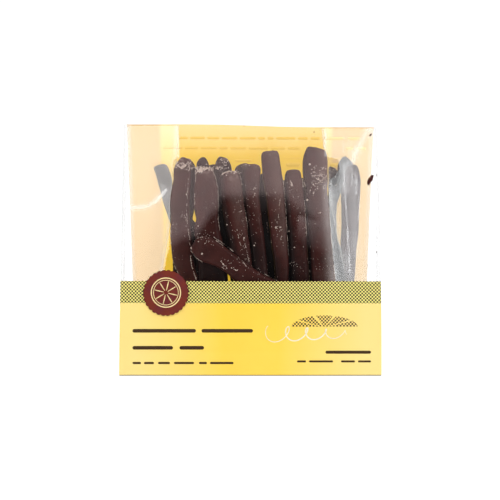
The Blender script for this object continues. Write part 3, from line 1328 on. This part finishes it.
class LEMONPEEL_OT_scatter_sugar(bpy.types.Operator):
    """Scatter sugar grains over the strips, thickest on their edges and heads"""
    bl_idname = "lemonpeel.scatter_sugar"
    bl_label = "Scatter sugar grains"

    def execute(self, context):
        settings = context.scene.lemonpeel_sugar
        draw = random.Random(11)
        strips = [bpy.data.objects[f"{name}_coated"] for name in PEELS]
        bm = bmesh.new()
        self.add_fine(bm, strips, settings, draw)
        tree = surface_tree(strips)
        for u, v, size in LARGE_GRAINS:
            drop_grain(bm, tree, u, v, size * MM, draw)
        for u, v, reach_u, reach_v, count, size in GRAIN_CLUSTERS:
            for _ in range(count):
                away = (draw.gauss(0.0, 0.5), draw.gauss(0.0, 0.5))
                drop_grain(bm, tree, u + reach_u * away[0], v + reach_v * away[1],
                           size * draw.uniform(0.6, 1.3) * MM, draw)
        for line, gaps, size in GRAIN_LINES:
            for u, v in places_along(line, GRAIN_STEP):
                if noise.noise(Vector((u * 0.35, v * 0.35, gaps))) > 0.3 - 0.6 * gaps:
                    continue
                beside = (draw.gauss(0.0, GRAIN_SCATTER), draw.gauss(0.0, GRAIN_SCATTER))
                drop_grain(bm, tree, u + beside[0], v + beside[1], size * draw.uniform(0.7, 1.4) * MM, draw)
        new_piece("sugar_grains", mesh_of(bm, "sugar_grains"), "dark_chocolate", grain_material(settings))
        return {"FINISHED"}

    def add_fine(self, bm, strips, settings, draw):
        """Fine grains anywhere on the strips, most of them where the coat is rubbed."""
        made = 0
        while made < settings.count:
            strip = strips[draw.randrange(len(strips))].data
            vert = strip.vertices[draw.randrange(len(strip.vertices))]
            rubbed = strip.attributes["rubbed"].data[vert.index].value
            if draw.random() > 0.2 + 0.8 * rubbed:
                continue
            size = settings.smallest + (settings.largest - settings.smallest) * draw.random() ** 2.5
            add_grain(bm, vert.co.copy(), vert.normal.copy(), size, draw)
            made += 1


class LEMONPEEL_OT_drop_crumbs(bpy.types.Operator):
    """Lay crumbs of chocolate on the film, where they cling"""
    bl_idname = "lemonpeel.drop_crumbs"
    bl_label = "Drop crumbs"

    def execute(self, context):
        bm = bmesh.new()
        for u, v, width, height, lean in CRUMBS:
            spot = self.film_place(u, v, 0.3 * width * MM)
            turn = Matrix.Rotation(math.radians(lean), 4, "Y")
            form = Matrix.Diagonal((width * MM, 0.4 * width * MM, height * MM, 1.0))
            matrix = Matrix.Translation(spot) @ turn @ form
            made = bmesh.ops.create_icosphere(bm, subdivisions=2, radius=0.5, matrix=matrix)
            for vert in made["verts"]:
                away = vert.co - spot
                vert.co = spot + away * (1.0 + 0.5 * noise.noise(away * 900.0 + Vector((u, v, 0.0))))
        coat = [1.3 * part for part in context.scene.lemonpeel_peel.coat]
        material = plain_material("crumb_chocolate", coat, 0.6)
        new_piece("chocolate_crumbs", mesh_of(bm, "chocolate_crumbs"), "dark_chocolate", material)
        return {"FINISHED"}

    def film_place(self, u, v, lift):
        """The place in the picture on the front film, lifted off it a little."""
        start, heading = photo_ray(u, v)
        spot = start + heading
        for _ in range(20):
            depth = -half_depth(spot.x, spot.z) + FILM_INSET - lift
            spot = start + heading * ((depth - start.y) / heading.y)
        return spot


class LEMONPEEL_OT_stretch_film(bpy.types.Operator):
    """Replace the thick bag solid with one thin sheet of clear film"""
    bl_idname = "lemonpeel.stretch_film"
    bl_label = "Stretch the film"

    def execute(self, context):
        settings = context.scene.lemonpeel_film
        mesh = bag_mesh(settings)
        piece = new_piece("clear_bag", mesh, "clear_film", film_material(settings), "clear_film")
        piece.visible_shadow = False
        return {"FINISHED"}


class LEMONPEEL_OT_print_label(bpy.types.Operator):
    """Give the card its yellow stock, its checked strip and plain bars in place of print"""
    bl_idname = "lemonpeel.print_label"
    bl_label = "Print the label"

    def execute(self, context):
        settings = context.scene.lemonpeel_label
        tree = repaint("wrap_label", card_material(settings))
        brown = plain_material("brown_ink", settings.bars, 0.55)
        self.print_bars("front_print", tree, FRONT_BARS, brown)
        self.print_wave(tree, plain_material("pale_ink", settings.pale, 0.5))
        glow = [SHOW_THROUGH * part for part in settings.backlit]
        faint = plain_material("faint_print", settings.showing, 0.6, glow)
        bars = SHOWING_BARS + words(SHOWING_LINES, random.Random(3))
        self.print_bars("print_showing_through", tree, bars, faint)
        return {"FINISHED"}

    def print_bars(self, name, tree, bars, material):
        bm = bmesh.new()
        for left, right, row, height in bars:
            bar(bm, tree, left, right, row, height)
        new_piece(name, mesh_of(bm, name), "yellow_card", material)

    def print_wave(self, tree, material):
        bm = bmesh.new()
        path = []
        for step in range(WAVE_STEPS):
            share = step / WAVE_STEPS
            turn = math.tau * WAVE_TURNS * share
            size = 8.5 - 5.0 * share
            column = WAVE_START[0] + WAVE_LENGTH * share - 0.8 * size * math.sin(turn)
            path.append((column, WAVE_START[1] - size * math.cos(turn + 0.3)))
        widths = [0.5 + 0.8 * math.sin(math.pi * (step + 0.5) / WAVE_STEPS) for step in range(WAVE_STEPS)]
        ribbon(bm, tree, path, widths)
        new_piece("pale_wave", mesh_of(bm, "pale_wave"), "yellow_card", material)


class LEMONPEEL_OT_stamp_seal(bpy.types.Operator):
    """Give the seal its maroon paper and a lemon slice in thin lines"""
    bl_idname = "lemonpeel.stamp_seal"
    bl_label = "Stamp the seal"

    def execute(self, context):
        settings = context.scene.lemonpeel_seal
        tree = repaint("round_seal", seal_material(settings))
        bm = bmesh.new()
        for radius, width in SEAL_RINGS:
            ring = [self.place(math.tau * step / RING_STEPS, radius) for step in range(RING_STEPS)]
            ring.append(ring[0])
            ribbon(bm, tree, ring, [width] * len(ring))
        for spoke in range(SPOKES):
            angle = math.tau * (spoke + 0.3) / SPOKES
            ribbon(bm, tree, [self.place(angle, reach) for reach in SPOKE_REACHES], SPOKE_WIDTHS)
        material = plain_material("cream_print", settings.motif, 0.5)
        new_piece("seal_lemon_slice", mesh_of(bm, "seal_lemon_slice"), "maroon_paper", material)
        return {"FINISHED"}

    def place(self, angle, reach):
        """A place in the picture, this far from the seal's centre."""
        return SEAL_PLACE[0] + reach * math.cos(angle), SEAL_PLACE[1] + reach * math.sin(angle)


def card_light(name, corners, strength, colour=WHITE, glows=None):
    """A flat card that shines; with glows, its corners are two rows of places with a brightness for each."""
    mesh = bpy.data.meshes.new(name)
    faces = [list(range(len(corners)))]
    if glows:
        half = len(corners) // 2
        faces = [(i, i + 1, half + i + 1, half + i) for i in range(half - 1)]
    mesh.from_pydata(corners, [], faces)
    store(mesh, "glow", np.array(glows or [1.0] * len(corners)))
    nodes = Nodes(name)
    nodes.tree.nodes.remove(nodes.shader)
    glow = nodes.add("ShaderNodeEmission")
    nodes.put(glow.inputs["Color"], opaque(colour))
    nodes.put(glow.inputs["Strength"], nodes.times(nodes.attribute("glow"), strength))
    nodes.join(glow.outputs[0], nodes.tree.nodes["Material Output"].inputs["Surface"])
    mesh.materials.append(nodes.material)
    card = add_object(name, mesh)
    card.visible_camera = False


class LEMONPEEL_OT_set_stage(bpy.types.Operator):
    """Put the pack on a pale floor, in soft studio light, before the camera"""
    bl_idname = "lemonpeel.set_stage"
    bl_label = "Set the stage"

    def execute(self, context):
        settings = context.scene.lemonpeel_stage
        self.add_camera(context)
        self.add_floor(settings)
        self.add_side_cards(settings)
        self.add_sky(settings)
        self.add_plain_cards(settings)
        self.add_world(context)
        context.scene.view_settings.view_transform = "Standard"
        return {"FINISHED"}

    def add_camera(self, context):
        data = bpy.data.cameras.new("photo_camera")
        data.sensor_width = SENSOR_WIDTH
        data.lens = SENSOR_WIDTH * FOCAL_PIXELS / PHOTO_SIZE
        data.shift_x = SHIFT_PIXELS[0] / PHOTO_SIZE
        data.shift_y = SHIFT_PIXELS[1] / PHOTO_SIZE
        data.clip_start = 0.01
        camera = add_object("photo_camera", data)
        camera.location = camera_axes()[0]
        camera.rotation_euler = (VIEW_TARGET - camera.location).to_track_quat("-Z", "Y").to_euler()
        context.scene.camera = camera

    def add_floor(self, settings):
        """A floor that curves up into a backdrop."""
        profile = [(-FLOOR_HALF, 0.0), (CURVE_START, 0.0)]
        for step in range(1, CURVE_STEPS + 1):
            angle = 0.5 * math.pi * step / CURVE_STEPS
            height = CURVE_RADIUS * (1.0 - math.cos(angle))
            profile.append((CURVE_START + CURVE_RADIUS * math.sin(angle), height))
        profile.append((CURVE_START + CURVE_RADIUS, BACKDROP_TOP))
        verts = [(x, y, z) for y, z in profile for x in (-FLOOR_HALF, FLOOR_HALF)]
        faces = [(2 * i, 2 * i + 1, 2 * i + 3, 2 * i + 2) for i in range(len(profile) - 1)]
        mesh = bpy.data.meshes.new("floor_and_backdrop")
        mesh.from_pydata(verts, [], faces)
        mesh.shade_smooth()
        floor = add_object("floor_and_backdrop", mesh)
        floor.location.z = -FLOOR_DROP
        nodes = Nodes("pale_floor")
        colour = nodes.mix(nodes.noise(6.0, 2.0), opaque(settings.floor, 0.985), opaque(settings.floor))
        nodes.set(Base_Color=colour, Roughness=0.9, Emission_Color=opaque(WHITE),
                  Emission_Strength=settings.glow)
        mesh.materials.append(nodes.material)

    def add_side_cards(self, settings):
        """The two large cards beside the camera and the small low one, which fade to an edge."""
        for name, inner, outer, colour, upper in (
                ("left_card", LEFT_CARD_EDGE, -CARD_REACH, settings.cream, 1.0),
                ("right_card", RIGHT_CARD_EDGE, CARD_REACH, WHITE, TOP_GLOW)):
            corners = [(x, CARD_DISTANCE, z) for x, z in inner]
            corners += [(outer, CARD_DISTANCE, z) for x, z in inner]
            glows = [1.0] * (len(inner) - 2) + [upper] * 2
            card_light(name, corners, settings.side, colour, glows * 2)
        dim, lit = LOW_CARD_EDGES
        corners = [(x, CARD_DISTANCE + 0.03, z) for x, z in dim + lit]
        card_light("low_card", corners, settings.low, settings.rose, [0.0] * len(dim) + [1.0] * len(lit))

    def add_sky(self, settings):
        """The card above the camera, in four parts from its soft lower edge to its top."""
        rows = (
            (0.0, [(x, z - SKY_FADE - tail) for (x, z), tail in zip(SKY_EDGE, SKY_TAIL)]),
            (TAIL_GLOW, [(x, z - SKY_FADE) for x, z in SKY_EDGE]),
            (EDGE_GLOW, [(x, z + SKY_FADE) for x, z in SKY_EDGE]),
            (1.0, [(x, max(z + 0.06, 0.67)) for x, z in SKY_EDGE]),
            (1.0, [(x * 1.5, 1.6) for x, z in SKY_EDGE]),
        )
        names = ("sky_tail", "sky_edge", "sky_middle", "sky_card")
        for name, (dim, low), (lit, high) in zip(names, rows, rows[1:]):
            corners = [(x, CARD_DISTANCE + 0.02, z) for x, z in low + high]
            glows = [dim] * len(low) + [lit] * len(high)
            card_light(name, corners, settings.sky, settings.rose, glows)

    def add_plain_cards(self, settings):
        """Even cards over the pack, at both its sides and behind it."""
        corners = [(-0.5, -0.5, 0.9), (0.5, -0.5, 0.9), (0.5, 0.6, 0.9), (-0.5, 0.6, 0.9)]
        card_light("top_card", corners, settings.top)
        for name, x, share in (("right_flank", 0.9, 1.0), ("left_flank", -0.9, 0.7)):
            corners = [(x, y, z) for y, z in ((-0.5, 0.0), (0.4, 0.0), (0.4, 0.8), (-0.5, 0.8))]
            card_light(name, corners, share * settings.flank)
        corners = [(x, 0.9, z) for x, z in ((-0.7, 0.1), (0.7, 0.1), (0.7, 0.8), (-0.7, 0.8))]
        card_light("back_card", corners, settings.back)

    def add_world(self, context):
        """A faint light from all around, which the camera sees as white."""
        world = bpy.data.worlds.new("studio")
        context.scene.world = world
        world.use_nodes = True
        tree = world.node_tree
        back = tree.nodes["Background"]
        path = tree.nodes.new("ShaderNodeLightPath")
        level = tree.nodes.new("ShaderNodeMapRange")
        level.inputs["To Min"].default_value = WORLD_GLOW
        level.inputs["To Max"].default_value = 1.0
        tree.links.new(path.outputs["Is Camera Ray"], level.inputs["Value"])
        tree.links.new(level.outputs["Result"], back.inputs["Strength"])
        back.inputs["Color"].default_value = opaque(WHITE)


class LEMONPEEL_PT_panel(bpy.types.Panel):
    """The steps that dress the pack"""
    bl_idname = "LEMONPEEL_PT_panel"
    bl_label = "Lemon peel pack"
    bl_space_type = "VIEW_3D"
    bl_region_type = "UI"
    bl_category = "Lemon peel"

    def draw(self, context):
        for name in SETTINGS:
            group = getattr(context.scene, name)
            for key in group.__annotations__:
                self.layout.prop(group, key)
        for step in STEPS:
            self.layout.operator(step.bl_idname)


SETTINGS = {
    "lemonpeel_peel": PeelSettings,
    "lemonpeel_sugar": SugarSettings,
    "lemonpeel_film": FilmSettings,
    "lemonpeel_label": LabelSettings,
    "lemonpeel_seal": SealSettings,
    "lemonpeel_stage": StageSettings,
}
STEPS = (
    LEMONPEEL_OT_set_stage,
    LEMONPEEL_OT_coat_strips,
    LEMONPEEL_OT_scatter_sugar,
    LEMONPEEL_OT_drop_crumbs,
    LEMONPEEL_OT_stretch_film,
    LEMONPEEL_OT_print_label,
    LEMONPEEL_OT_stamp_seal,
)


def register():
    for group in SETTINGS.values():
        bpy.utils.register_class(group)
    for step in STEPS:
        bpy.utils.register_class(step)
    bpy.utils.register_class(LEMONPEEL_PT_panel)
    for name, group in SETTINGS.items():
        setattr(bpy.types.Scene, name, bpy.props.PointerProperty(type=group))


def unregister():
    for name in SETTINGS:
        delattr(bpy.types.Scene, name)
    bpy.utils.unregister_class(LEMONPEEL_PT_panel)
    for step in reversed(STEPS):
        bpy.utils.unregister_class(step)
    for group in reversed(SETTINGS.values()):
        bpy.utils.unregister_class(group)


def main():
    """Dress the pack step by step."""
    register()
    bpy.ops.lemonpeel.set_stage()
    bpy.ops.lemonpeel.coat_strips()
    bpy.ops.lemonpeel.scatter_sugar()
    bpy.ops.lemonpeel.drop_crumbs()
    bpy.ops.lemonpeel.stretch_film()
    bpy.ops.lemonpeel.print_label()
    bpy.ops.lemonpeel.stamp_seal()


if __name__ == "__main__":
    main()
